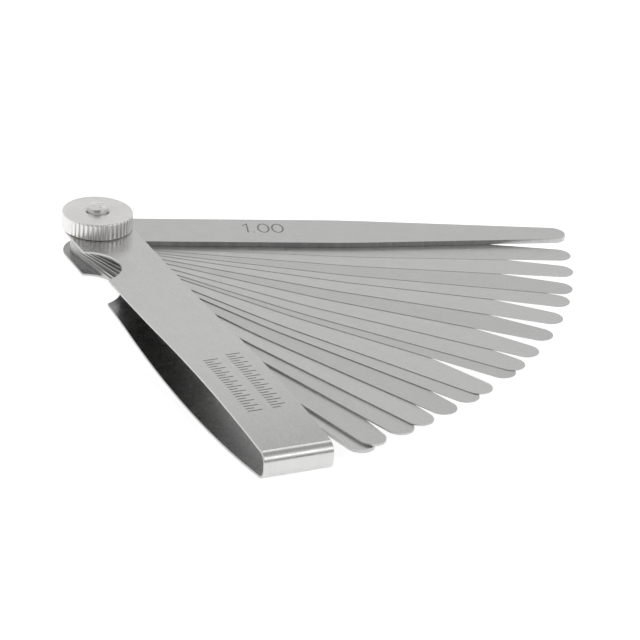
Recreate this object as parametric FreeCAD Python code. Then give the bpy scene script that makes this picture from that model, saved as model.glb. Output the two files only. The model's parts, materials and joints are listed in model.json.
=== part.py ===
"""Feeler gauge: seventeen steel blades fanned out of a folded sheet holder.

Row frame, millimetres. The origin is the centre of the flat underside of the
pivot screw's head. +Z runs up the pivot, +X runs along the holder from the
pivot to its fold, and the blades come out on the +Y side.
"""
import FreeCAD
import Part
import math
import os

V = FreeCAD.Vector
Z_AXIS = V(0, 0, 1)

# ---- blades -----------------------------------------------------------------
BLADE_LENGTH = 100.0        # base to tip
BLADE_WIDTH = 10.8          # of the parallel half
BLADE_HEEL = 5.0            # pivot to the round end behind it
TIP_RADIUS = 2.7            # round end of the tapered half
TAPER_START = 50.0          # from the pivot to where the taper begins
TAPER_BLEND = 150.0         # radius that eases the parallel edge into the taper
BLADE_GAP = 0.01            # air between neighbouring faces
# Thickness of each blade from the bottom of the stack up, and the angle from
# the holder at which it stands at rest.
BLADES = [
    (0.75, 9.3), (0.50, 10.8), (0.40, 14.8), (0.30, 17.8), (0.25, 21.6), (0.20, 25.6),
    (0.15, 28.2), (0.10, 33.3), (0.09, 35.6), (0.08, 39.6), (0.07, 44.5), (0.06, 49.3),
    (0.05, 54.2), (0.04, 57.8), (0.03, 62.7), (0.02, 67.4), (1.00, 72.5),
]

# ---- holder: one strip folded into a U --------------------------------------
SHEET = 0.5                 # strip thickness
HOLDER_MARGIN = 1.35        # strip beyond the blades on each long edge
HOLDER_HEEL = 6.2           # pivot to the strip's round ends
TIP_CLEARANCE = 0.05        # blade tip to where the fold's corners begin
FOLD_CLEARANCE = 0.1        # blade stack to the strip inside the fold, each face
FOLD_INNER_RADIUS = 1.6
LOWER_PAD = 12.0            # flat length of the lower arm beyond the pivot
LOWER_BOW = 2.9             # the most that the lower arm stands off the blades
LOWER_CREST = 0.58          # where, as a share of its length from pad to fold
UPPER_PAD = 20.0
UPPER_BOW = 1.1
UPPER_CREST = 0.64
NOTCH_CENTRE = 16.5         # thumb notch, from the pivot
NOTCH_RADIUS = 6.9
NOTCH_DEPTH = 4.9
NOTCH_EASE = 0.6            # corner between the notch and the long edge

# ---- pivot screw ------------------------------------------------------------
SCREW_DIAMETER = 4.0
HEAD_DIAMETER = 9.0
HEAD_HEIGHT = 1.6
HEAD_CHAMFER = 0.4
STUD_PROUD = 1.2            # stud above the nut
STUD_DOME = 0.45            # height of its peened dome
BLADE_HOLE_CLEARANCE = 0.05     # radial, blade on screw
ARM_HOLE_CLEARANCE = 0.10       # radial, upper arm on screw

# ---- knurled nut ------------------------------------------------------------
NUT_DIAMETER = 14.2
NUT_HEIGHT = 3.65
NUT_TEETH = 46
KNURL_DEPTH = 0.28
KNURL_LAND = 0.4            # share of the pitch left standing at full diameter
NUT_TOP_EASE = 0.55         # rounded upper rim
NUT_FOOT_CHAMFER = 0.35
NUT_SINK_DIAMETER = 5.2     # countersink round the stud
NUT_THREAD_CLEARANCE = 0.05     # radial, nut bore on screw
NUT_SEAT_GAP = 0.01             # nut face to the upper arm

# ---- heights ----------------------------------------------------------------
LOWER_INNER = HEAD_HEIGHT + SHEET               # inner face of the lower pad
STACK_BOTTOM = LOWER_INNER + BLADE_GAP
STACK_TOP = STACK_BOTTOM + sum(thickness + BLADE_GAP for thickness, _ in BLADES) - BLADE_GAP
UPPER_INNER = STACK_TOP + BLADE_GAP             # inner face of the upper pad
UPPER_OUTER = UPPER_INNER + SHEET
NUT_BOTTOM = UPPER_OUTER + NUT_SEAT_GAP
NUT_TOP = NUT_BOTTOM + NUT_HEIGHT
STUD_TOP = NUT_TOP + STUD_PROUD

# ---- lengths ----------------------------------------------------------------
BLADE_REACH = BLADE_LENGTH - BLADE_HEEL         # pivot to tip
HOLDER_WIDTH = BLADE_WIDTH + 2 * HOLDER_MARGIN
FOLD_INNER_X = BLADE_REACH + TIP_CLEARANCE + FOLD_INNER_RADIUS
SCREW_RADIUS = SCREW_DIAMETER / 2


def face_of(edges):
    """Planar face from edges given end to end."""
    return Part.Face(Part.Wire(edges))


def line(start, end):
    return Part.LineSegment(start, end).toShape()


def arc(start, middle, end):
    return Part.Arc(start, middle, end).toShape()


def on_circle(centre, radius, angle):
    return V(centre.x + radius * math.cos(angle), centre.y + radius * math.sin(angle), centre.z)


def cylinder(radius, bottom, top):
    return Part.makeCylinder(radius, top - bottom, V(0, 0, bottom), Z_AXIS)


def revolved(profile):
    """Solid turned about the pivot axis from (radius, height) corners."""
    corners = [V(radius, 0, height) for radius, height in profile]
    return Part.Face(Part.makePolygon(corners + corners[:1])).revolve(V(0, 0, 0), Z_AXIS, 360)


# ---- blades -----------------------------------------------------------------

def blade_edge_points():
    """Where one long edge changes: start and end of the blend, and the tip tangent."""
    half = BLADE_WIDTH / 2
    tip_centre = BLADE_REACH - TIP_RADIUS
    run = tip_centre - TAPER_START
    taper = math.atan2(half, run) - math.asin(TIP_RADIUS / math.hypot(run, half))
    tangent = TAPER_BLEND * math.tan(taper / 2)
    blend_start = V(TAPER_START - tangent, half, 0)
    blend_middle = V(
        blend_start.x + TAPER_BLEND * math.sin(taper / 2),
        half - TAPER_BLEND * (1 - math.cos(taper / 2)), 0)
    blend_end = V(TAPER_START + tangent * math.cos(taper), half - tangent * math.sin(taper), 0)
    tip_tangent = V(
        tip_centre + TIP_RADIUS * math.sin(taper), TIP_RADIUS * math.cos(taper), 0)
    return blend_start, blend_middle, blend_end, tip_tangent


def mirrored(point):
    return V(point.x, -point.y, point.z)


def blade_outline():
    half = BLADE_WIDTH / 2
    start, middle, end, tangent = blade_edge_points()
    heel = V(half - BLADE_HEEL, half, 0)
    return face_of([
        line(heel, start),
        arc(start, middle, end),
        line(end, tangent),
        arc(tangent, V(BLADE_REACH, 0, 0), mirrored(tangent)),
        line(mirrored(tangent), mirrored(end)),
        arc(mirrored(end), mirrored(middle), mirrored(start)),
        line(mirrored(start), mirrored(heel)),
        arc(mirrored(heel), V(-BLADE_HEEL, 0, 0), heel),
    ])


def blade(bottom, thickness, angle):
    body = blade_outline().extrude(V(0, 0, thickness))
    hole = cylinder(SCREW_RADIUS + BLADE_HOLE_CLEARANCE, -thickness, 2 * thickness)
    body = body.cut(hole)
    body.rotate(V(0, 0, 0), Z_AXIS, angle)
    body.translate(V(0, 0, bottom))
    return body


# ---- holder -----------------------------------------------------------------

def bow_arcs(pad, bow, crest, end):
    """Turn and radius of the two arcs that one arm's inner face follows.

    The arm leaves its flat pad on the first arc, stands furthest from the
    blades at the crest, and comes back to the fold on the second.
    """
    away = 2 * math.atan(bow / (crest - pad))
    back = 2 * math.atan((bow - FOLD_CLEARANCE) / (end - crest))
    back_radius = (end - crest) / math.sin(back)
    away_radius = (crest - pad) / math.sin(away) - back_radius
    return away, away_radius, back, back_radius


def arm_end(pad, bow, crest_share):
    """Crest and end of an arm whose corner finishes on the fold's inner face.

    The corner's reach depends on the arm's slope, so the end is found by
    repetition, which settles to far below a micrometre.
    """
    end = FOLD_INNER_X
    for _ in range(8):
        crest = pad + crest_share * (end - pad)
        slope = bow_arcs(pad, bow, crest, end)[2]
        end = FOLD_INNER_X - FOLD_INNER_RADIUS * (1 - math.sin(slope))
    return crest, end


def arm_line(pad, bow, crest_share, offset):
    """Points of one arm's side view, at a distance offset outside its inner face.

    They run from the pivot end to the fold's upright web. Heights are measured
    away from the blades.
    """
    crest, end = arm_end(pad, bow, crest_share)
    away, away_radius, back, back_radius = bow_arcs(pad, bow, crest, end)
    corner_radius = FOLD_INNER_RADIUS + offset

    def leaving(angle):
        reach = away_radius - offset
        return V(pad + reach * math.sin(angle), 0, away_radius - reach * math.cos(angle))

    def returning(angle):
        reach = back_radius + offset
        return V(crest + reach * math.sin(angle), 0, bow - back_radius + reach * math.cos(angle))

    def round_corner(angle):
        start = returning(back)
        return V(
            start.x + corner_radius * (math.sin(angle) - math.sin(back)), 0,
            start.z + corner_radius * (math.cos(angle) - math.cos(back)))

    return [
        V(-HOLDER_WIDTH / 2, 0, offset), leaving(0), leaving(away / 2), leaving(away),
        returning((back - away) / 2), returning(back),
        round_corner((back + math.pi / 2) / 2), round_corner(math.pi / 2),
    ]


def arm_sides(pad, bow, crest_share, inner_height, direction):
    """Inner and outer line of one arm, moved to its height on the pivot."""
    return [
        [V(p.x, 0, inner_height + direction * p.z) for p in arm_line(pad, bow, crest_share, offset)]
        for offset in (0, SHEET)]


def side_edges(points):
    begin, pad_end, away_middle, away_end, back_middle, back_end, corner_middle, web = points
    return [
        line(begin, pad_end),
        arc(pad_end, away_middle, away_end),
        arc(away_end, back_middle, back_end),
        arc(back_end, corner_middle, web),
    ]


def holder_strip():
    """The folded strip, before its ends are rounded and its notch and holes are cut."""
    lower_in, lower_out = arm_sides(LOWER_PAD, LOWER_BOW, LOWER_CREST, LOWER_INNER, -1)
    upper_in, upper_out = arm_sides(UPPER_PAD, UPPER_BOW, UPPER_CREST, UPPER_INNER, 1)
    edges = [line(lower_out[0], lower_in[0])]
    edges += side_edges(lower_in)
    edges.append(line(lower_in[-1], upper_in[-1]))
    edges += side_edges(upper_in)
    edges.append(line(upper_in[0], upper_out[0]))
    edges += side_edges(upper_out)
    edges.append(line(upper_out[-1], lower_out[-1]))
    edges += side_edges(lower_out)
    section = Part.Face(Part.Wire(Part.__sortEdges__(edges)))
    section.translate(V(0, -HOLDER_WIDTH / 2, 0))
    return section.extrude(V(0, HOLDER_WIDTH, 0))


def notch_cutter(bottom, top):
    """Thumb notch on the -Y edge, with its corners eased into the edge."""
    edge = -HOLDER_WIDTH / 2
    centre = V(NOTCH_CENTRE, edge + NOTCH_DEPTH - NOTCH_RADIUS, bottom)
    ease_y = edge + NOTCH_EASE
    reach = NOTCH_RADIUS + NOTCH_EASE
    spread = math.sqrt(reach ** 2 - (ease_y - centre.y) ** 2)
    ease_left = V(centre.x - spread, ease_y, bottom)
    ease_right = V(centre.x + spread, ease_y, bottom)
    turn = math.atan2(ease_y - centre.y, spread)
    join_left = on_circle(centre, NOTCH_RADIUS, math.pi - turn)
    join_right = on_circle(centre, NOTCH_RADIUS, turn)
    outside = edge - NOTCH_DEPTH
    middle_left = on_circle(ease_left, NOTCH_EASE, -(math.pi / 2 + turn) / 2)
    middle_right = on_circle(ease_right, NOTCH_EASE, math.pi + (math.pi / 2 + turn) / 2)
    foot_left = V(ease_left.x, edge, bottom)
    foot_right = V(ease_right.x, edge, bottom)
    outer_left = V(ease_left.x, outside, bottom)
    outer_right = V(ease_right.x, outside, bottom)
    outline = face_of([
        line(outer_left, foot_left),
        arc(foot_left, middle_left, join_left),
        arc(join_left, on_circle(centre, NOTCH_RADIUS, math.pi / 2), join_right),
        arc(join_right, middle_right, foot_right),
        line(foot_right, outer_right),
        line(outer_right, outer_left),
    ])
    return outline.extrude(V(0, 0, top - bottom))


def rounded_end_keeper(bottom, top):
    """Plan of the strip: a half round behind the pivot and straight sides past the fold."""
    half = HOLDER_WIDTH / 2
    near = half - HOLDER_HEEL
    far = FOLD_INNER_X + 2 * SHEET
    outline = face_of([
        line(V(near, -half, bottom), V(far, -half, bottom)),
        line(V(far, -half, bottom), V(far, half, bottom)),
        line(V(far, half, bottom), V(near, half, bottom)),
        arc(V(near, half, bottom), V(-HOLDER_HEEL, 0, bottom), V(near, -half, bottom)),
    ])
    return outline.extrude(V(0, 0, top - bottom))


def holder():
    bottom = LOWER_INNER - LOWER_BOW - 2 * SHEET
    top = UPPER_OUTER + UPPER_BOW + SHEET
    body = holder_strip().common(rounded_end_keeper(bottom, top))
    body = body.cut(notch_cutter(bottom, top))
    body = body.cut(cylinder(SCREW_RADIUS, bottom, LOWER_INNER + SHEET))
    return body.cut(cylinder(SCREW_RADIUS + ARM_HOLE_CLEARANCE, LOWER_INNER + SHEET, top))


# ---- pivot screw ------------------------------------------------------------

def pivot_screw():
    """Low flat head fixed in the lower arm, and a stud with a peened dome."""
    head_radius = HEAD_DIAMETER / 2
    head = revolved([
        (0, 0), (head_radius - HEAD_CHAMFER, 0), (head_radius, HEAD_CHAMFER),
        (head_radius, HEAD_HEIGHT), (0, HEAD_HEIGHT)])
    shoulder = STUD_TOP - STUD_DOME
    dome_radius = (SCREW_RADIUS ** 2 + STUD_DOME ** 2) / (2 * STUD_DOME)
    dome = Part.makeSphere(dome_radius, V(0, 0, STUD_TOP - dome_radius))
    stud = cylinder(SCREW_RADIUS, HEAD_HEIGHT, shoulder)
    cap = dome.common(cylinder(SCREW_RADIUS, shoulder, STUD_TOP + STUD_DOME))
    return head.fuse([stud, cap]).removeSplitter()


# ---- knurled nut ------------------------------------------------------------

def knurl_outline():
    """Round outline with a straight V groove between every two teeth."""
    pitch = 2 * math.pi / NUT_TEETH
    land = KNURL_LAND * pitch / 2
    radius = NUT_DIAMETER / 2
    centre = V(0, 0, NUT_BOTTOM)
    corners = []
    for tooth in range(NUT_TEETH):
        middle = tooth * pitch
        corners.append(on_circle(centre, radius, middle - land))
        corners.append(on_circle(centre, radius, middle + land))
        corners.append(on_circle(centre, radius - KNURL_DEPTH, middle + pitch / 2))
    return Part.Face(Part.makePolygon(corners + corners[:1]))


def knurled_nut():
    radius = NUT_DIAMETER / 2
    bore = SCREW_RADIUS + NUT_THREAD_CLEARANCE
    sink = NUT_SINK_DIAMETER / 2
    ease = NUT_TOP_EASE
    shoulder = ease * (1 - math.sin(math.pi / 4))
    turned = revolved([
        (bore, NUT_BOTTOM), (radius - NUT_FOOT_CHAMFER, NUT_BOTTOM),
        (radius, NUT_BOTTOM + NUT_FOOT_CHAMFER), (radius, NUT_TOP - ease),
        (radius - shoulder, NUT_TOP - shoulder), (radius - ease, NUT_TOP),
        (sink, NUT_TOP), (bore, NUT_TOP - (sink - bore))])
    knurl = knurl_outline().extrude(V(0, 0, NUT_HEIGHT))
    return turned.common(knurl)


# ---- output -----------------------------------------------------------------

def blade_name(thickness):
    return "blade_%.2f" % thickness


def write(name, shape):
    shape.exportStep("parts/" + name.replace(".", "_") + ".step")


def main():
    os.makedirs("parts", exist_ok=True)
    write("holder", holder())
    write("pivot_screw", pivot_screw())
    write("knurled_nut", knurled_nut())
    bottom = STACK_BOTTOM
    for thickness, angle in BLADES:
        write(blade_name(thickness), blade(bottom, thickness, angle))
        bottom += thickness + BLADE_GAP


main()
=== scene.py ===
"""Looks of the feeler gauge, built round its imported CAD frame.

Lengths are in millimetres in the geometry code and become metres when a mesh
is made. Each shown piece rides on the CAD body that it belongs to.
"""

import json
import math

import bpy
from mathutils import Matrix, Vector, noise
from mathutils.geometry import delaunay_2d_cdt


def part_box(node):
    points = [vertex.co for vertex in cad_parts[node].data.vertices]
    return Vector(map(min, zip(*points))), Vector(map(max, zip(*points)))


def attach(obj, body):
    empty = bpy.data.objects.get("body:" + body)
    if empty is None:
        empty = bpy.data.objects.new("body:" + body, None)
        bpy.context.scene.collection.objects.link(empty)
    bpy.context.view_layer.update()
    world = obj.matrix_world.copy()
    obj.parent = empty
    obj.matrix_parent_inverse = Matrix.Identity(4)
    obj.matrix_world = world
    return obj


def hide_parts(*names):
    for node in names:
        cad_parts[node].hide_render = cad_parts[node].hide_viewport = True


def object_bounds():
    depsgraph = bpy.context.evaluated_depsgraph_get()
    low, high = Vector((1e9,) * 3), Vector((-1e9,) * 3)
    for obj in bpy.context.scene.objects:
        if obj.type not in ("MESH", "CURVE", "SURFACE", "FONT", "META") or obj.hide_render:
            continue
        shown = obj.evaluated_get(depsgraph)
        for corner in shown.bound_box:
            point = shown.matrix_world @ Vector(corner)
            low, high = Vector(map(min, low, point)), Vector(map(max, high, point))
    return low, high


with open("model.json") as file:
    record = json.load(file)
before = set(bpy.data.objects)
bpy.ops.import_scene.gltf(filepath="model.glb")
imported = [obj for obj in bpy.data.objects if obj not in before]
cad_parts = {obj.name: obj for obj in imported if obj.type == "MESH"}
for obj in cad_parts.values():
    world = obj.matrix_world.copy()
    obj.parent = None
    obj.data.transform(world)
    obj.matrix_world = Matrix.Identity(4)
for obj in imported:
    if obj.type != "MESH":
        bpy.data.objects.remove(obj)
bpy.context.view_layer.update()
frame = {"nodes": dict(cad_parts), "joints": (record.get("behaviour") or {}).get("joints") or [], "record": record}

MM = 0.001
# The cut-edge slot takes the side wall and the lower half of the eased edge. Its darker steel is partly the
# rougher cut steel and partly painted shade.
OUTER, SHADED_CUT_EDGE, INNER = 0, 1, 2    # material slots of a plate

# ---- sizes of the shapes, mm --------------------------------------------------
TIP_RADIUS = 2.7
TAPER_START = 50.0
TAPER_BLEND = 150.0
SCREW_RADIUS = 2.0
BLADE_HOLE = 2.05
ARM_HOLE = 2.1

SHEET = 0.5
FOLD_CLEARANCE = 0.1
FOLD_RADIUS = 1.6
LOWER_ARM = dict(pad=12.0, bow=2.9, crest=0.58)
UPPER_ARM = dict(pad=20.0, bow=1.1, crest=0.64)
NOTCH_CENTRE = 16.5
NOTCH_RADIUS = 6.9
NOTCH_DEPTH = 4.9
NOTCH_EASE = 0.6
STRIP_EDGE = 0.09           # radius that eases the strip's cut edges

NUT_TEETH = 46
KNURL_DEPTH = 0.28
KNURL_LAND = 0.4
NUT_TOP_EASE = 0.55
NUT_FOOT_CHAMFER = 0.35
NUT_SINK_RADIUS = 2.6
HEAD_CHAMFER = 0.4
STUD_CROWN = 0.32           # height of the peened dome above its shoulder
STUD_CORNER = 0.08          # how far the shoulder is drawn in
THREAD_CLEARANCE = 0.05     # radial, nut bore on screw
BLADE_GAP = 0.01            # air between neighbouring faces

MARK_HEIGHT = 0.003         # etched marks stand this far above the steel
MARK_ROOT = 0.005           # and reach this far into it
NUMBER_HEIGHT = 3.9
NUMBER_STROKE = 0.34
NUMBER_START = 29.3         # from the pivot, along the blade
NUMBER_BASE = -0.7          # across the blade
# Spread of the painted reflection differences between blades. Each blade's colour is shifted as if it reflected
# the light a little differently.
BLADE_REFLECTION_SPREAD = 0.05    # how far the blades differ in tone
TICK_ROWS = [(1.35, 61.2, 24), (-3.55, 62.2, 23)]   # place across, start from the pivot, count
TICK_PITCH = 0.92
TICK_LONG = 2.7
TICK_SHORT = 1.5
TICK_STROKE = 0.26


def millimetres(node):
    low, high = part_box(node)
    return low / MM, high / MM


# ---- meshes -------------------------------------------------------------------

def new_object(name, points, faces, normals=None, uvs=None, looks=None):
    """Mesh object from points in millimetres, with smooth shading. looks gives each face's material."""
    mesh = bpy.data.meshes.new(name)
    mesh.from_pydata([Vector(p) * MM for p in points], [], faces)
    mesh.polygons.foreach_set("use_smooth", [True] * len(mesh.polygons))
    if uvs:
        layer = mesh.uv_layers.new(name="along")
        for loop in mesh.loops:
            layer.data[loop.index].uv = uvs[loop.vertex_index]
    if looks:
        mesh.polygons.foreach_set("material_index", looks)
    mesh.validate()
    mesh.update()
    if normals:
        mesh.normals_split_custom_set_from_vertices([Vector(n).normalized() for n in normals])
    piece = bpy.data.objects.new(name, mesh)
    bpy.context.scene.collection.objects.link(piece)
    return piece


def inside(point, loops):
    """Even-odd test of a point against closed loops."""
    x, y = point
    odd = False
    for loop in loops:
        for (ax, ay), (bx, by) in zip(loop, loop[1:] + loop[:1]):
            if (ay > y) != (by > y) and x < (bx - ax) * (y - ay) / (by - ay) + ax:
                odd = not odd
    return odd


def sliver(a, b, c):
    """Whether three corners lie almost on one line."""
    longest = max((b - a).length, (c - b).length, (a - c).length)
    return abs((b - a).cross(c - a)) < 1e-5 * longest ** 2


def outward(loop):
    """Unit normals of a closed loop, to the right of its direction of travel."""
    normals = []
    count = len(loop)
    for i in range(count):
        total = Vector((0, 0))
        for a, b in ((loop[i - 1], loop[i]), (loop[i], loop[(i + 1) % count])):
            step = Vector(b) - Vector(a)
            total += Vector((step.y, -step.x)).normalized()
        normals.append(total.normalized())
    return normals


def mirrors(lift):
    """Whether lift turns the flat drawing over."""
    _, normal, along = lift(0, 0, 0)
    return along.cross(Vector((0, 1, 0))).dot(normal) < 0


def plate(name, loops, columns, lift, thickness, ease):
    """Sheet part with eased edges.

    loops are closed outlines in the sheet's plane: the outer one runs
    counter-clockwise and holes run clockwise. columns are lines across the
    sheet that keep its faces close to a curve. lift(s, y, depth) gives the
    point, the sheet's normal and its direction along s.
    """
    points, normals, uvs, faces, looks = [], [], [], [], []
    turned_over = mirrors(lift)

    def add(s, y, depth, side, up):
        point, normal, along = lift(s, y, depth)
        points.append(point)
        flat = along * side[0] + Vector((0, 1, 0)) * side[1]
        normals.append(normal * up + flat)
        uvs.append((s * 0.01, y * 0.01))
        return len(points) - 1

    steps = 4
    turns = [math.pi / 2 * k / steps for k in range(steps + 1)]
    rings = [(ease * (1 - math.sin(a)), thickness - ease * (1 - math.cos(a)), math.sin(a), math.cos(a))
             for a in turns]
    rings += [(ease * (1 - math.sin(a)), ease * (1 - math.cos(a)), math.sin(a), -math.cos(a))
              for a in reversed(turns)]
    top_rims, bottom_rims, inset_loops = [], [], []
    for loop in loops:
        sides = outward(loop)
        rows = []
        for inset, depth, flat, up in rings:
            rows.append([
                add(p[0] - n.x * inset, p[1] - n.y * inset, depth, (n.x * flat, n.y * flat), up)
                for p, n in zip(loop, sides)])
        count = len(loop)
        for row, (upper, lower) in enumerate(zip(rows, rows[1:])):
            for i in range(count):
                j = (i + 1) % count
                faces.append((upper[i], lower[i], lower[j], upper[j]))
                # Upper ease stays the face's steel. The wall and lower ease get the darker cut-edge steel, partly
                # real cut steel and partly painted shade on the downward-facing half.
                looks.append(OUTER if row < steps else SHADED_CUT_EDGE)
        top_rims.append(rows[0])
        bottom_rims.append(rows[-1])
        inset_loops.append([(p[0] - n.x * ease, p[1] - n.y * ease) for p, n in zip(loop, sides)])

    flat_points, flat_edges, owner = [], [], []
    for number, loop in enumerate(inset_loops):
        base = len(flat_points)
        for i, p in enumerate(loop):
            flat_points.append(Vector(p))
            flat_edges.append((base + i, base + (i + 1) % len(loop)))
            owner.append((number, i))
    for column in columns:
        chain = []
        for p in column:
            if isinstance(p, int):
                chain.append(p)
            else:
                chain.append(len(flat_points))
                flat_points.append(Vector(p))
                owner.append(None)
        flat_edges += list(zip(chain, chain[1:]))
    made = delaunay_2d_cdt(flat_points, flat_edges, [], 0, 1e-5)
    flat, triangles, origins = made[0], made[2], made[3]
    tops, bottoms = [], []
    for place, origin in zip(flat, origins):
        known = [owner[o] for o in origin if owner[o]]
        if known:
            loop_number, i = known[0]
            tops.append(top_rims[loop_number][i])
            bottoms.append(bottom_rims[loop_number][i])
        else:
            tops.append(add(place.x, place.y, thickness, (0, 0), 1))
            bottoms.append(add(place.x, place.y, 0, (0, 0), -1))
    for triangle in triangles:
        corners = [flat[i] for i in triangle]
        middle = sum(corners, Vector((0, 0))) / 3
        if not sliver(*corners) and inside(middle, inset_loops):
            faces.append(tuple(tops[i] for i in triangle))
            faces.append(tuple(bottoms[i] for i in reversed(triangle)))
            looks += [OUTER, INNER]
    if turned_over:
        faces = [tuple(reversed(face)) for face in faces]
    return new_object(name, points, faces, normals, uvs, looks)


def arc_points(cx, cy, radius, start, end, count, skip_last=False):
    """Points on a circle from one angle to another, in degrees."""
    total = count if skip_last else count + 1
    return [(cx + radius * math.cos(math.radians(start + (end - start) * k / count)),
             cy + radius * math.sin(math.radians(start + (end - start) * k / count)))
            for k in range(total)]


def hole_loop(cx, cy, radius, count=48):
    return arc_points(cx, cy, radius, 0, -360, count, skip_last=True)


def on_straight(start, end, step):
    """Points after start and before end, evenly spaced."""
    start, end = Vector(start), Vector(end)
    count = max(1, round((end - start).length / step))
    return [tuple(start.lerp(end, k / count)) for k in range(1, count)]


# ---- blades -------------------------------------------------------------------

def blade_loop(reach, half, heel_reach):
    """Outline of a blade about its pivot, counter-clockwise from its lower edge."""
    heel_x = half - heel_reach
    tip_centre = reach - TIP_RADIUS
    run = tip_centre - TAPER_START
    taper = math.atan2(half, run) - math.asin(TIP_RADIUS / math.hypot(run, half))
    tangent = TAPER_BLEND * math.tan(taper / 2)
    start_x = TAPER_START - tangent
    degrees = math.degrees(taper)
    blend = arc_points(start_x, half - TAPER_BLEND, TAPER_BLEND, 90, 90 - degrees, 8)
    tip = arc_points(tip_centre, 0, TIP_RADIUS, 90 - degrees, 0, 14)
    upper = on_straight((heel_x, half), blend[0], 4) + blend
    upper += on_straight(blend[-1], tip[0], 4) + tip
    lower = [(x, -y) for x, y in upper[:-1]]
    heel = arc_points(heel_x, 0, half, 90, 270, 40)
    return lower + upper[::-1] + heel


def flat_lift(s, y, depth):
    return Vector((s, y, depth)), Vector((0, 0, 1)), Vector((1, 0, 0))


def make_blade(node, angle):
    low, high = millimetres(node)
    thickness = high.z - low.z
    ease = min(0.07, thickness * 0.3)
    axis = Vector((math.cos(angle), math.sin(angle), 0))
    side = Vector((-axis.y, axis.x, 0))
    places = [v.co / MM for v in frame["nodes"][node].data.vertices]
    along = [p.dot(axis) for p in places]
    outline = blade_loop(max(along), max(p.dot(side) for p in places), -min(along))
    piece = plate("steel_" + node, [outline, hole_loop(0, 0, BLADE_HOLE)],
                  [], flat_lift, thickness, ease)
    piece.matrix_world = Matrix.Rotation(angle, 4, "Z") @ Matrix.Translation((0, 0, low.z * MM))
    return piece, thickness


# ---- etched numbers -----------------------------------------------------------

def oval(cx, cy, rx, ry, start, end, count=22):
    return [(cx + rx * math.cos(math.radians(start + (end - start) * k / count)),
             cy + ry * math.sin(math.radians(start + (end - start) * k / count)))
            for k in range(count + 1)]


DIGITS = {
    "0": [oval(0.28, 0.5, 0.28, 0.5, 0, 360, 36)],
    "1": [[(0.04, 0.8), (0.24, 1.0), (0.24, 0.0)]],
    "2": [oval(0.28, 0.72, 0.27, 0.28, 165, -32) + [(0.0, 0.0), (0.56, 0.0)]],
    "3": [oval(0.27, 0.75, 0.24, 0.25, 150, -90), oval(0.27, 0.26, 0.28, 0.26, 75, -150)],
    "4": [[(0.56, 0.3), (0.0, 0.3), (0.4, 1.0), (0.4, 0.0)]],
    "5": [[(0.5, 1.0), (0.1, 1.0), (0.05, 0.56)] + oval(0.26, 0.33, 0.28, 0.33, 128, -150)],
    "6": [oval(0.28, 0.31, 0.28, 0.31, 0, 360, 32), oval(0.62, 0.31, 0.62, 0.69, 180, 108, 12)],
    "7": [[(0.0, 1.0), (0.54, 1.0), (0.2, 0.0)]],
    "8": [oval(0.28, 0.755, 0.23, 0.245, 0, 360, 30), oval(0.28, 0.26, 0.28, 0.26, 0, 360, 32)],
    "9": [oval(0.28, 0.69, 0.28, 0.31, 0, 360, 32), oval(-0.06, 0.69, 0.62, 0.69, 0, -72, 12)],
    ".": [[(0.06, 0.02), (0.09, 0.02)]],
}
DIGIT_WIDTH = {"1": 0.3, ".": 0.15}


def number_strokes(text, height, left, base):
    strokes = []
    for character in text:
        for stroke in DIGITS[character]:
            strokes.append([(left + x * height, base + y * height) for x, y in stroke])
        left += (DIGIT_WIDTH.get(character, 0.56) + 0.17) * height
    return strokes


def ribbon(stroke, half):
    """Closed outlines of a stroke with round ends, or of a ring."""
    closed = (Vector(stroke[0]) - Vector(stroke[-1])).length < 1e-6
    path = [Vector(p) for p in (stroke[:-1] if closed else stroke)]
    left, right = [], []
    for i, p in enumerate(path):
        before = path[i - 1] if (i or closed) else None
        after = path[(i + 1) % len(path)] if (i < len(path) - 1 or closed) else None
        into = (p - before).normalized() if before is not None else None
        out = (after - p).normalized() if after is not None else None
        into, out = into or out, out or into
        side = Vector((-(into + out).y, (into + out).x)).normalized()
        reach = half / max(0.5, side.dot(Vector((-out.y, out.x))))
        left.append(p + side * reach)
        right.append(p - side * reach)
    if closed:
        return [left, right]
    end, start = (path[-1] - path[-2]).normalized(), (path[0] - path[1]).normalized()
    caps = []
    for centre, way in ((path[-1], end), (path[0], start)):
        turn = math.degrees(math.atan2(way.y, way.x))
        caps.append([Vector(p) for p in arc_points(centre.x, centre.y, half, turn + 80, turn - 80, 6)])
    return [left + caps[0] + right[::-1] + caps[1]]


def from_segment(point, a, b):
    step = b - a
    share = max(0, min(1, (point - a).dot(step) / max(step.length_squared, 1e-12)))
    return (point - a - step * share).length


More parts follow.
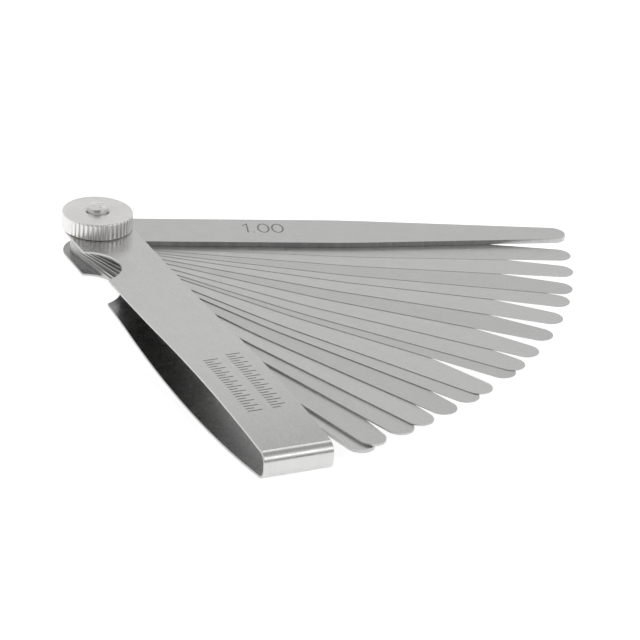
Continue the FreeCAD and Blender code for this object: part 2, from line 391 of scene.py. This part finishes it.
def inlay(name, strokes, width, lift):
    """Etched marks: thin slabs that follow the surface given by lift(s, y, depth)."""
    half = width / 2
    flat_points, flat_edges = [], []
    for stroke in strokes:
        for loop in ribbon(stroke, half):
            base = len(flat_points)
            flat_points += loop
            flat_edges += [(base + i, base + (i + 1) % len(loop)) for i in range(len(loop))]
    made = delaunay_2d_cdt(flat_points, flat_edges, [], 0, 1e-5)
    flat, triangles = made[0], made[2]
    segments = [(Vector(a), Vector(b)) for s in strokes for a, b in zip(s, s[1:])]
    kept = []
    for triangle in triangles:
        middle = sum((flat[i] for i in triangle), Vector((0, 0))) / 3
        if any(from_segment(middle, a, b) < half * 1.001 for a, b in segments):
            kept.append(triangle)
    used = sorted({i for t in kept for i in t})
    place = {old: new for new, old in enumerate(used)}
    top = [lift(flat[i].x, flat[i].y, MARK_HEIGHT)[0] for i in used]
    root = [lift(flat[i].x, flat[i].y, -MARK_ROOT)[0] for i in used]
    faces = [tuple(place[i] for i in t) for t in kept]
    count = len(used)
    edges = {}
    for face in faces:
        for a, b in zip(face, face[1:] + face[:1]):
            edges[(a, b)] = True
    walls = [(a, a + count, b + count, b) for a, b in edges if (b, a) not in edges]
    under = [tuple(i + count for i in reversed(f)) for f in faces]
    faces += walls + under
    if mirrors(lift):
        faces = [tuple(reversed(face)) for face in faces]
    piece = new_object(name, top + root, faces)
    piece.data.polygons.foreach_set("use_smooth", [False] * len(piece.data.polygons))
    return piece


# ---- holder -------------------------------------------------------------------

def arm_arcs(pad, bow, crest_share, fold_x):
    """Crest, end, and the turn and radius of the two arcs of an arm's inner face."""
    end = fold_x
    for _ in range(8):
        crest = pad + crest_share * (end - pad)
        back = 2 * math.atan((bow - FOLD_CLEARANCE) / (end - crest))
        end = fold_x - FOLD_RADIUS * (1 - math.sin(back))
    away = 2 * math.atan(bow / (crest - pad))
    back_radius = (end - crest) / math.sin(back)
    away_radius = (crest - pad) / math.sin(away) - back_radius
    return crest, away, away_radius, back, back_radius


def arm_profile(arm, inner_z, direction, fold_x):
    """Stations from the pivot to the fold's web: inner point and outward normal in x, z."""
    crest, away, away_radius, back, back_radius = arm_arcs(
        arm["pad"], arm["bow"], arm["crest"], fold_x)
    stations = [(0.0, 0.0, 0.0)]
    for share in (0.3, 0.6, 0.85, 1.0):
        stations.append((arm["pad"] * share, 0.0, 0.0))
    steps = 22
    for k in range(1, steps + 1):
        a = away * k / steps
        stations.append((arm["pad"] + away_radius * math.sin(a), away_radius * (1 - math.cos(a)), -a))
    for k in range(1, 2 * steps + 1):
        a = -away + (back + away) * k / (2 * steps)
        stations.append((
            crest + back_radius * math.sin(a),
            arm["bow"] - back_radius + back_radius * math.cos(a), a))
    start_x, start_z, _ = stations[-1]
    for k in range(1, 13):
        a = back + (math.pi / 2 - back) * k / 12
        stations.append((
            start_x + FOLD_RADIUS * (math.sin(a) - math.sin(back)),
            start_z + FOLD_RADIUS * (math.cos(a) - math.cos(back)), a))
    return [(Vector((x, 0, inner_z + direction * z)),
             Vector((math.sin(a), 0, direction * math.cos(a)))) for x, z, a in stations]


def strip_stations(lower_z, upper_z, fold_x):
    """The whole strip's side view as (distance, inner point, outward normal)."""
    lower = arm_profile(LOWER_ARM, lower_z, -1, fold_x)
    upper = arm_profile(UPPER_ARM, upper_z, 1, fold_x)
    middle = [(lower[-1][0].lerp(upper[-1][0], 0.5), Vector((1, 0, 0)))]
    stations, distance = [], 0.0
    for point, normal in lower + middle + upper[::-1]:
        if stations:
            distance += (point - stations[-1][1]).length
        stations.append((distance, point, normal))
    return stations


def strip_lift(stations):
    """lift(s, y, depth) along the strip, with the normal turning evenly between stations."""
    def find(s):
        if s <= 0:
            return stations[0][1] + Vector((s, 0, 0)), stations[0][2]
        if s >= stations[-1][0]:
            beyond = s - stations[-1][0]
            return stations[-1][1] - Vector((beyond, 0, 0)), stations[-1][2]
        low, high = 0, len(stations) - 1
        while high - low > 1:
            mid = (low + high) // 2
            if stations[mid][0] <= s:
                low = mid
            else:
                high = mid
        a, b = stations[low], stations[high]
        share = (s - a[0]) / (b[0] - a[0])
        return a[1].lerp(b[1], share), a[2].lerp(b[2], share).normalized()

    def lift(s, y, depth):
        point, normal = find(s)
        along = normal.cross(Vector((0, 1, 0)))
        return point + normal * depth + Vector((0, y, 0)), normal, along

    return lift


def notch_points(half):
    """Notch on the -Y edge from low to high x, with its eased corners."""
    centre_y = -half + NOTCH_DEPTH - NOTCH_RADIUS
    ease_y = -half + NOTCH_EASE
    reach = NOTCH_RADIUS + NOTCH_EASE
    spread = math.sqrt(reach ** 2 - (ease_y - centre_y) ** 2)
    turn = math.degrees(math.atan2(ease_y - centre_y, spread))
    left = arc_points(-spread, ease_y, NOTCH_EASE, -90, -turn, 7)
    middle = arc_points(0, centre_y, NOTCH_RADIUS, 180 - turn, turn, 34)
    right = arc_points(spread, ease_y, NOTCH_EASE, 180 + turn, 270, 7)
    return left + middle[1:-1] + right


def make_holder(half, heel_reach, lower_z, upper_z, fold_x):
    stations = strip_stations(lower_z, upper_z, fold_x)
    total = stations[-1][0]
    lift = strip_lift(stations)
    across = [s for s, _, _ in stations if 0 < s < total]
    notch = notch_points(half)
    near = [(NOTCH_CENTRE + x, y) for x, y in notch]
    far = [(total - NOTCH_CENTRE + x, y) for x, y in notch]
    near_end, far_start = near[-1][0], far[0][0]
    heel = half - heel_reach
    low_edge = on_straight((heel, -half), near[0], 3) + near
    low_edge += [(s, -half) for s in across if near_end + 0.3 < s < far_start - 0.3] + far
    low_edge += on_straight(far[-1], (total - heel, -half), 3)
    right_end = arc_points(total - heel, 0, half, -90, 90, 48)
    high_edge = [(s, half) for s in across if heel < s < total - heel][::-1]
    left_end = arc_points(heel, 0, half, 90, 270, 48)
    loop = low_edge + right_end + high_edge + left_end
    index = {(round(s, 6), y > 0): i for i, (s, y) in enumerate(loop) if abs(abs(y) - half) < 1e-9}
    columns = []
    for s in across:
        top = index[(round(s, 6), True)]
        bottom = index.get((round(s, 6), False))
        if near_end + 0.3 < s < far_start - 0.3:
            columns.append([bottom, (s, -half * 0.5), (s, 0.0), (s, half * 0.5), top])
        elif 3.5 < s < total - 3.5:
            columns.append([(s, -0.6), (s, half * 0.45), top])
    holes = [hole_loop(0, 0, SCREW_RADIUS), hole_loop(total, 0, ARM_HOLE)]
    piece = plate("steel_holder", [loop] + holes, columns, lift, SHEET, STRIP_EDGE)
    return piece, lift, total


# ---- turned parts -------------------------------------------------------------

def turned(name, profile, steps, radius_at=None, height_at=None):
    """Lathe mesh from (radius, height) points. A radius of 0 closes the end."""
    points, rows = [], []
    closed = profile[0] == profile[-1]
    for r, z in profile[:-1] if closed else profile:
        if r == 0:
            rows.append([len(points)])
            lift = height_at(0, 0, z) if height_at else z
            points.append((0, 0, lift))
            continue
        row = []
        for k in range(steps):
            angle = 2 * math.pi * k / steps
            radius = radius_at(r, angle) if radius_at else r
            x, y = radius * math.cos(angle), radius * math.sin(angle)
            row.append(len(points))
            points.append((x, y, height_at(x, y, z) if height_at else z))
        rows.append(row)
    if closed:
        rows.append(rows[0])
    faces = []
    for a, b in zip(rows, rows[1:]):
        for k in range(steps):
            n = (k + 1) % steps
            if len(a) == 1:
                faces.append((a[0], b[n], b[k]))
            elif len(b) == 1:
                faces.append((a[k], a[n], b[0]))
            else:
                faces.append((a[k], a[n], b[n], b[k]))
    return new_object(name, points, faces)


def rounded(corner, before, after, radius, count=5):
    """Points that replace a profile's corner by an arc of about this radius."""
    corner, before, after = Vector(corner), Vector(before), Vector(after)
    a = corner + (before - corner).normalized() * radius
    b = corner + (after - corner).normalized() * radius
    made = []
    for k in range(count + 1):
        t = k / count
        made.append(tuple(a * (1 - t) ** 2 + corner * 2 * t * (1 - t) + b * t ** 2))
    return made


def make_nut():
    low, high = millimetres("knurled_nut")
    radius = high.x
    bottom, top = low.z, high.z
    bore, sink = SCREW_RADIUS + THREAD_CLEARANCE, NUT_SINK_RADIUS
    ease, foot = NUT_TOP_EASE, NUT_FOOT_CHAMFER
    profile = [(bore, top - (sink - bore))]
    profile += [(bore, bottom + (top - bottom) * k / 4) for k in (2, 1)]
    profile += [(bore, bottom + 0.05), (bore + 0.05, bottom), (bore + 0.6, bottom)]
    profile += [(radius - foot - 0.3, bottom)]
    profile += rounded((radius - foot, bottom), (0, bottom), (radius, bottom + foot), 0.08)
    profile += [(radius - foot * (1 - k / 4), bottom + foot * k / 4) for k in (1, 2, 3)]
    profile += rounded((radius, bottom + foot), (radius - foot, bottom), (radius, top), 0.08)
    profile += [(radius, bottom + foot + (top - ease - bottom - foot) * k / 8) for k in range(1, 8)]
    profile += arc_points(radius - ease, top - ease, ease, 0, 90, 15)
    profile += [(radius - ease - 0.12, top), (radius - ease - 0.6, top)]
    profile += [(radius * 0.62, top), (sink + 0.5, top)]
    profile += rounded((sink, top), (radius, top), (bore, top - (sink - bore)), 0.08)
    profile += [(bore + (sink - bore) * 0.5, top - (sink - bore) * 0.5), (bore, top - (sink - bore))]
    pitch = 2 * math.pi / NUT_TEETH
    per_tooth = 14

    def knurl(r, angle):
        share = abs(((angle / pitch + 0.5) % 1.0) - 0.5)
        depth = max(0.0, min(1.0, (share - KNURL_LAND / 2) / (0.5 - KNURL_LAND / 2)))
        depth = depth * (0.35 + 0.65 * depth) if depth < 0.5 else depth - 0.1625 * (1 - depth) * 2
        groove = radius - KNURL_DEPTH * max(0.0, depth)
        blend = 0.035
        gap = max(0.0, blend - abs(groove - r)) / blend
        return min(groove, r) - gap * gap * blend / 4

    piece = turned("metal_knurled_nut", profile[:-1] + [profile[0]], NUT_TEETH * per_tooth, knurl)
    return piece


def make_screw():
    high = millimetres("pivot_screw")[1]
    head = high.x
    shelf = frame_head_height()
    top, edge = high.z, 0.06
    shoulder = top - STUD_CROWN
    profile = [(0, 0), (head * 0.3, 0), (head * 0.6, 0), (head - HEAD_CHAMFER - 0.2, 0)]
    profile += rounded((head - HEAD_CHAMFER, 0), (0, 0), (head, HEAD_CHAMFER), edge)
    profile += rounded((head, HEAD_CHAMFER), (head - HEAD_CHAMFER, 0), (head, shelf), edge)
    profile += rounded((head, shelf), (head, 0), (0, shelf), edge)
    profile += [(head * 0.75, shelf), (SCREW_RADIUS + 0.1, shelf), (SCREW_RADIUS, shelf + 0.02)]
    profile += [(SCREW_RADIUS, shelf + (shoulder - shelf) * k / 6) for k in range(1, 6)]
    profile += [(SCREW_RADIUS, shoulder - below) for below in (0.5, 0.25, 0.12)]
    for share in (0.0, 0.25, 0.5, 0.75, 1.0):
        profile.append((SCREW_RADIUS - STUD_CORNER * (1 - math.cos(share * math.pi / 2)),
                        shoulder - 0.1 + 0.14 * math.sin(share * math.pi / 2)))
    rings = 16
    for k in range(1, rings):
        r = (SCREW_RADIUS - STUD_CORNER) * (1 - k / rings)
        profile.append((r, shoulder + 0.04 + (top - shoulder - 0.04) * (1 - (r / SCREW_RADIUS) ** 2)))
    profile.append((0, top))

    def peened(x, y, z):
        if z < shoulder - 0.05:
            return z
        place = Vector((x * 0.9, y * 0.9, 4.2))
        dents = noise.noise(place) * 0.13 + noise.noise(place * 2.6) * 0.06
        share = min(1.0, (z - shoulder + 0.05) / 0.15)
        return min(top, z + (dents - 0.03) * share)

    return turned("metal_pivot_screw", profile, 96, None, peened)


def frame_head_height():
    """Top of the screw's head, where the lower arm's pad rests."""
    nodes = [n for n in frame["nodes"] if n.startswith("blade_")]
    lowest_blade = min(millimetres(n)[0].z for n in nodes)
    return lowest_blade - BLADE_GAP - SHEET


# ---- materials ----------------------------------------------------------------

class Nodes:
    """Short hand for building one material's node tree."""

    def __init__(self, name):
        self.material = bpy.data.materials.new(name)
        self.material.use_nodes = True
        self.tree = self.material.node_tree
        self.tree.nodes.clear()
        self.output = self.add("ShaderNodeOutputMaterial")
        self.shader = self.add("ShaderNodeBsdfPrincipled")
        self.link(self.shader.outputs["BSDF"], self.output.inputs["Surface"])

    def add(self, kind, **settings):
        node = self.tree.nodes.new(kind)
        for key, value in settings.items():
            setattr(node, key, value)
        return node

    def link(self, output, socket):
        self.tree.links.new(output, socket)

    def place(self, source, scale):
        """Texture place, stretched by scale."""
        coordinates = self.add("ShaderNodeTexCoord")
        mapping = self.add("ShaderNodeMapping")
        mapping.inputs["Scale"].default_value = scale
        self.link(coordinates.outputs[source], mapping.inputs["Vector"])
        return mapping.outputs["Vector"]

    def noise(self, vector, scale, detail=4.0, rough=0.55):
        node = self.add("ShaderNodeTexNoise")
        node.inputs["Scale"].default_value = scale
        node.inputs["Detail"].default_value = detail
        node.inputs["Roughness"].default_value = rough
        self.link(vector, node.inputs["Vector"])
        return node.outputs["Fac"]

    def range(self, value, low, high, to_low, to_high):
        node = self.add("ShaderNodeMapRange")
        node.inputs["From Min"].default_value = low
        node.inputs["From Max"].default_value = high
        node.inputs["To Min"].default_value = to_low
        node.inputs["To Max"].default_value = to_high
        self.link(value, node.inputs["Value"])
        return node.outputs["Result"]

    def mix(self, factor, first, second, blend="MIX"):
        node = self.add("ShaderNodeMix", data_type="RGBA", blend_type=blend)
        for socket, value in ((node.inputs[0], factor), (node.inputs[6], first), (node.inputs[7], second)):
            if isinstance(value, bpy.types.NodeSocket):
                self.link(value, socket)
            else:
                socket.default_value = value if not isinstance(value, tuple) else (*value, 1)
        return node.outputs[2]

    def sum(self, first, second):
        node = self.add("ShaderNodeMath", operation="ADD")
        self.link(first, node.inputs[0])
        self.link(second, node.inputs[1])
        return node.outputs[0]

    def bump(self, height, distance, strength=1.0):
        node = self.add("ShaderNodeBump")
        node.inputs["Distance"].default_value = distance
        node.inputs["Strength"].default_value = strength
        self.link(height, node.inputs["Height"])
        self.link(node.outputs["Normal"], self.shader.inputs["Normal"])


def rolled_steel(name, dark, light, rough, grain, source="UV"):
    """Satin stainless sheet with faint rolling grain along its length."""
    n = Nodes(name)
    fine = n.noise(n.place(source, (60, 2600, 60)), 1.0, 3.0)
    broad = n.noise(n.place(source, (8, 190, 8)), 1.0, 4.0)
    cloud = n.noise(n.place(source, (30, 30, 30)), 1.0, 5.0)
    speck = n.noise(n.place(source, (2600, 2600, 2600)), 1.0, 2.0)
    tone = n.mix(n.range(fine, 0.3, 0.7, 0.0, 1.0), dark, light)
    tone = n.mix(n.range(broad, 0.35, 0.65, 0.0, 0.35), tone, light)
    tone = n.mix(n.range(cloud, 0.35, 0.7, 0.0, 0.25), tone, dark)
    n.link(tone, n.shader.inputs["Base Color"])
    n.shader.inputs["Metallic"].default_value = 1.0
    grained = n.range(fine, 0.2, 0.8, rough - 0.05, rough + 0.06)
    spread = n.sum(grained, n.range(cloud, 0.3, 0.7, -0.03, 0.04))
    n.link(spread, n.shader.inputs["Roughness"])
    n.bump(n.sum(fine, n.range(speck, 0, 1, 0, 0.6)), grain)
    return n.material


def plated_metal(name, dark, light, rough):
    """Nickel plate: smooth satin with faint clouding."""
    n = Nodes(name)
    cloud = n.noise(n.place("Object", (180, 180, 180)), 1.0, 5.0)
    fine = n.noise(n.place("Object", (2400, 2400, 2400)), 1.0, 3.0)
    tone = n.mix(n.range(cloud, 0.3, 0.7, 0.0, 1.0), dark, light)
    n.link(tone, n.shader.inputs["Base Color"])
    n.shader.inputs["Metallic"].default_value = 1.0
    n.link(n.range(n.sum(cloud, fine), 0.7, 1.3, rough - 0.05, rough + 0.07), n.shader.inputs["Roughness"])
    n.bump(fine, 0.0000012)
    return n.material


def etched(name, dark, light):
    """Dark matt etching with a grainy edge-to-edge tone."""
    n = Nodes(name)
    grain = n.noise(n.place("Object", (5200, 5200, 5200)), 1.0, 3.0)
    tone = n.mix(n.range(grain, 0.3, 0.7, 0.0, 1.0), dark, light)
    n.link(tone, n.shader.inputs["Base Color"])
    n.shader.inputs["Metallic"].default_value = 0.55
    n.link(n.range(grain, 0.2, 0.8, 0.5, 0.7), n.shader.inputs["Roughness"])
    n.bump(grain, 0.000003)
    return n.material


holder_look = rolled_steel("holder_satin_steel", (0.55, 0.55, 0.545), (0.67, 0.67, 0.665), 0.25, 0.0000015)
# Holder's inner faces: the same satin steel painted darker, as painted shade for the channel between the arms.
inner_shade_look = rolled_steel("holder_inner_steel", (0.32, 0.32, 0.32), (0.41, 0.41, 0.405), 0.26, 0.000002)
# Cut edges: rougher cut steel, painted darker as painted shade on the walls and the lower eased half.
shaded_edge_look = rolled_steel("cut_edge_steel", (0.44, 0.44, 0.44), (0.58, 0.58, 0.575), 0.34, 0.000002)
nut_look = plated_metal("nut_nickel", (0.74, 0.73, 0.71), (0.84, 0.83, 0.81), 0.34)
screw_look = plated_metal("screw_steel", (0.66, 0.655, 0.64), (0.80, 0.79, 0.78), 0.24)
mark_look = etched("etched_mark", (0.11, 0.11, 0.113), (0.24, 0.24, 0.245))
number_look = etched("etched_number", (0.17, 0.17, 0.173), (0.31, 0.31, 0.315))


def finish_piece(piece, looks, body, slot, *stands_for):
    for look in looks:
        piece.data.materials.append(look)
    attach(piece, body)
    if stands_for:
        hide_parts(*stands_for)


# ---- the pieces ---------------------------------------------------------------

record = frame["record"]
body_of = {n: body for body, nodes in record["behaviour"]["bodies"].items() for n in nodes}
blade_nodes = sorted(n for n in frame["nodes"] if n.startswith("blade_"))
rest_angle = {}
for joint in frame["joints"]:
    if joint["name"].startswith("swing_"):
        rest_angle[joint["child"]] = -joint["range_deg"][0]

holder_low, holder_high = millimetres("holder")
half_holder = holder_high.y
fold_inner_x = holder_high.x - SHEET
lower_inner = frame_head_height() + SHEET
upper_inner = max(millimetres(n)[1].z for n in blade_nodes) + BLADE_GAP

for number_in_set, node in enumerate(blade_nodes):
    body = body_of[node]
    angle = math.radians(rest_angle[body])
    piece, thickness = make_blade(node, angle)
    # Each blade's colour is shifted a little up or down. This is a painted reflection difference standing in for
    # the slight tilt of each blade.
    tone = 1.0 + BLADE_REFLECTION_SPREAD * math.sin(number_in_set * 2.2)
    blade_look = rolled_steel("satin_steel_" + node, (0.53 * tone, 0.53 * tone, 0.525 * tone),
                              (0.655 * tone, 0.655 * tone, 0.647 * tone), 0.30, 0.000002)
    finish_piece(piece, [blade_look, shaded_edge_look, blade_look], body, "blade_steel", node)
    text = node.replace("blade_", "").replace("_", ".")
    strokes = number_strokes(text, NUMBER_HEIGHT, NUMBER_START, NUMBER_BASE)

    def on_blade(s, y, depth, thickness=thickness):
        return flat_lift(s, y, thickness + depth)

    number = inlay("number_" + node, strokes, NUMBER_STROKE, on_blade)
    number.matrix_world = piece.matrix_world.copy()
    finish_piece(number, [number_look], body, "blade_steel")

holder, on_strip, strip_length = make_holder(
    half_holder, -holder_low.x, lower_inner, upper_inner, fold_inner_x)
# The holder's inner faces take the darker copy of its steel, which is painted shade.
finish_piece(holder, [holder_look, shaded_edge_look, inner_shade_look], body_of["holder"], "holder_steel", "holder")

screw = make_screw()
finish_piece(screw, [screw_look], body_of["pivot_screw"], "screw_metal", "pivot_screw")
nut = make_nut()
finish_piece(nut, [nut_look], body_of["knurled_nut"], "nut_metal", "knurled_nut")


def tick_rows():
    """Two rows of plain tick marks on the upper arm."""
    strokes = []
    for base, start, count in TICK_ROWS:
        for k in range(count):
            height = TICK_LONG if k % 2 == 0 else TICK_SHORT
            s = strip_length - (start + k * TICK_PITCH)
            strokes.append([(s, base), (s, base + height)])
    return strokes


def on_upper_arm(s, y, depth):
    return on_strip(s, y, SHEET + depth)


ticks = inlay("etched_ticks", tick_rows(), TICK_STROKE, on_upper_arm)
finish_piece(ticks, [mark_look], body_of["holder"], "holder_steel")

# ---- floor, light and camera --------------------------------------------------

FLOOR_CENTRE = (0.05, 0.03)     # metres
FLOOR_SIDE = 6
CAMERA_PLACE = Vector((550.91, -227.70, 280.05))
CAMERA_AZIMUTH = 153.16         # degrees, the way it looks
CAMERA_DOWN = 26.0
CAMERA_ROLL = 4.38
CAMERA_LENS = 185.3

box_at_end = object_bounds()


def card(name, centre, size, look):
    """Level square sheet of the studio, not part of the object."""
    half = size / 2
    mesh = bpy.data.meshes.new(name)
    mesh.from_pydata([(-half, -half, 0), (half, -half, 0), (half, half, 0), (-half, half, 0)],
                     [], [(0, 1, 2, 3)])
    sheet = bpy.data.objects.new(name, mesh)
    bpy.context.scene.collection.objects.link(sheet)
    sheet.matrix_world = Matrix.Translation(centre)
    mesh.materials.append(look)
    return sheet


def floor_look():
    """Light table: pale, and bright enough by itself to show hardly any shadow."""
    n = Nodes("floor_white")
    cloud = n.noise(n.place("Object", (3, 3, 3)), 1.0, 2.0)
    n.link(n.mix(cloud, (0.80, 0.80, 0.80), (0.83, 0.83, 0.83)), n.shader.inputs["Base Color"])
    n.shader.inputs["Roughness"].default_value = 0.9
    n.shader.inputs["Emission Color"].default_value = (1, 1, 1, 1)
    n.shader.inputs["Emission Strength"].default_value = 0.62
    return n.material


card("floor", Vector((*FLOOR_CENTRE, box_at_end[0].z)), FLOOR_SIDE, floor_look())


class Studio:
    """World whose brightness is a level plus soft patches, each about a direction."""

    def __init__(self, level):
        world = bpy.data.worlds.new("studio")
        bpy.context.scene.world = world
        world.use_nodes = True
        self.tree = world.node_tree
        self.background = self.tree.nodes["Background"]
        coordinates = self.tree.nodes.new("ShaderNodeTexCoord")
        self.direction = coordinates.outputs["Generated"]
        value = self.tree.nodes.new("ShaderNodeValue")
        value.outputs[0].default_value = level
        self.value = value.outputs[0]

    def math(self, operation, first, second):
        node = self.tree.nodes.new("ShaderNodeMath")
        node.operation = operation
        for socket, value in zip(node.inputs, (first, second)):
            if isinstance(value, bpy.types.NodeSocket):
                self.tree.links.new(value, socket)
            else:
                socket.default_value = value
        return node.outputs[0]

    def patch(self, toward, full, none, amount):
        """Adds amount within full degrees of a direction, fading to nothing at none degrees."""
        dot = self.tree.nodes.new("ShaderNodeVectorMath")
        dot.operation = "DOT_PRODUCT"
        self.tree.links.new(self.direction, dot.inputs[0])
        dot.inputs[1].default_value = Vector(toward).normalized()
        reach = self.tree.nodes.new("ShaderNodeMapRange")
        reach.interpolation_type = "SMOOTHSTEP"
        reach.inputs["From Min"].default_value = math.cos(math.radians(none))
        reach.inputs["From Max"].default_value = math.cos(math.radians(full))
        reach.inputs["To Min"].default_value = 0.0
        reach.inputs["To Max"].default_value = amount
        self.tree.links.new(dot.outputs["Value"], reach.inputs["Value"])
        self.value = self.math("ADD", self.value, reach.outputs["Result"])

    def finish(self):
        self.tree.links.new(self.math("MAXIMUM", self.value, 0.0), self.background.inputs["Color"])


def toward(azimuth, elevation):
    """Direction from the object, in degrees from +X and above the floor."""
    a, e = math.radians(azimuth), math.radians(elevation)
    return math.cos(e) * math.cos(a), math.cos(e) * math.sin(a), math.sin(e)


studio = Studio(0.80)
studio.patch(toward(333, 22), 22, 48, -0.56)        # dark room round the camera
studio.patch(toward(147, 41), 3, 9, -0.5)           # dark strip below the box behind
studio.patch(toward(136, 53), 5, 12, 0.95)          # soft box behind, overhead
studio.patch(toward(70, 66), 12, 24, -0.35)         # dim ceiling between the two boxes
studio.patch(toward(30, 34), 5, 11, 1.8)            # soft box to the right
studio.patch(toward(25, 3), 5, 14, -0.75)           # gap above the table's far edge
studio.finish()

azimuth = math.radians(CAMERA_AZIMUTH)
roll = math.radians(CAMERA_ROLL)
forward = Vector(toward(CAMERA_AZIMUTH, -CAMERA_DOWN))
level = Vector((math.sin(azimuth), -math.cos(azimuth), 0))
upright = level.cross(forward)
right = level * math.cos(roll) + upright * math.sin(roll)
up = upright * math.cos(roll) - level * math.sin(roll)
camera_data = bpy.data.cameras.new("camera")
camera_data.sensor_width = 36
camera_data.lens = CAMERA_LENS
camera_data.clip_start, camera_data.clip_end = 0.01, 20
camera = bpy.data.objects.new("camera", camera_data)
bpy.context.scene.collection.objects.link(camera)
turn = Matrix((right, up, -forward)).transposed().to_4x4()
camera.matrix_world = Matrix.Translation(CAMERA_PLACE * MM) @ turn
bpy.context.scene.camera = camera
bpy.context.scene.view_settings.view_transform = "Standard"
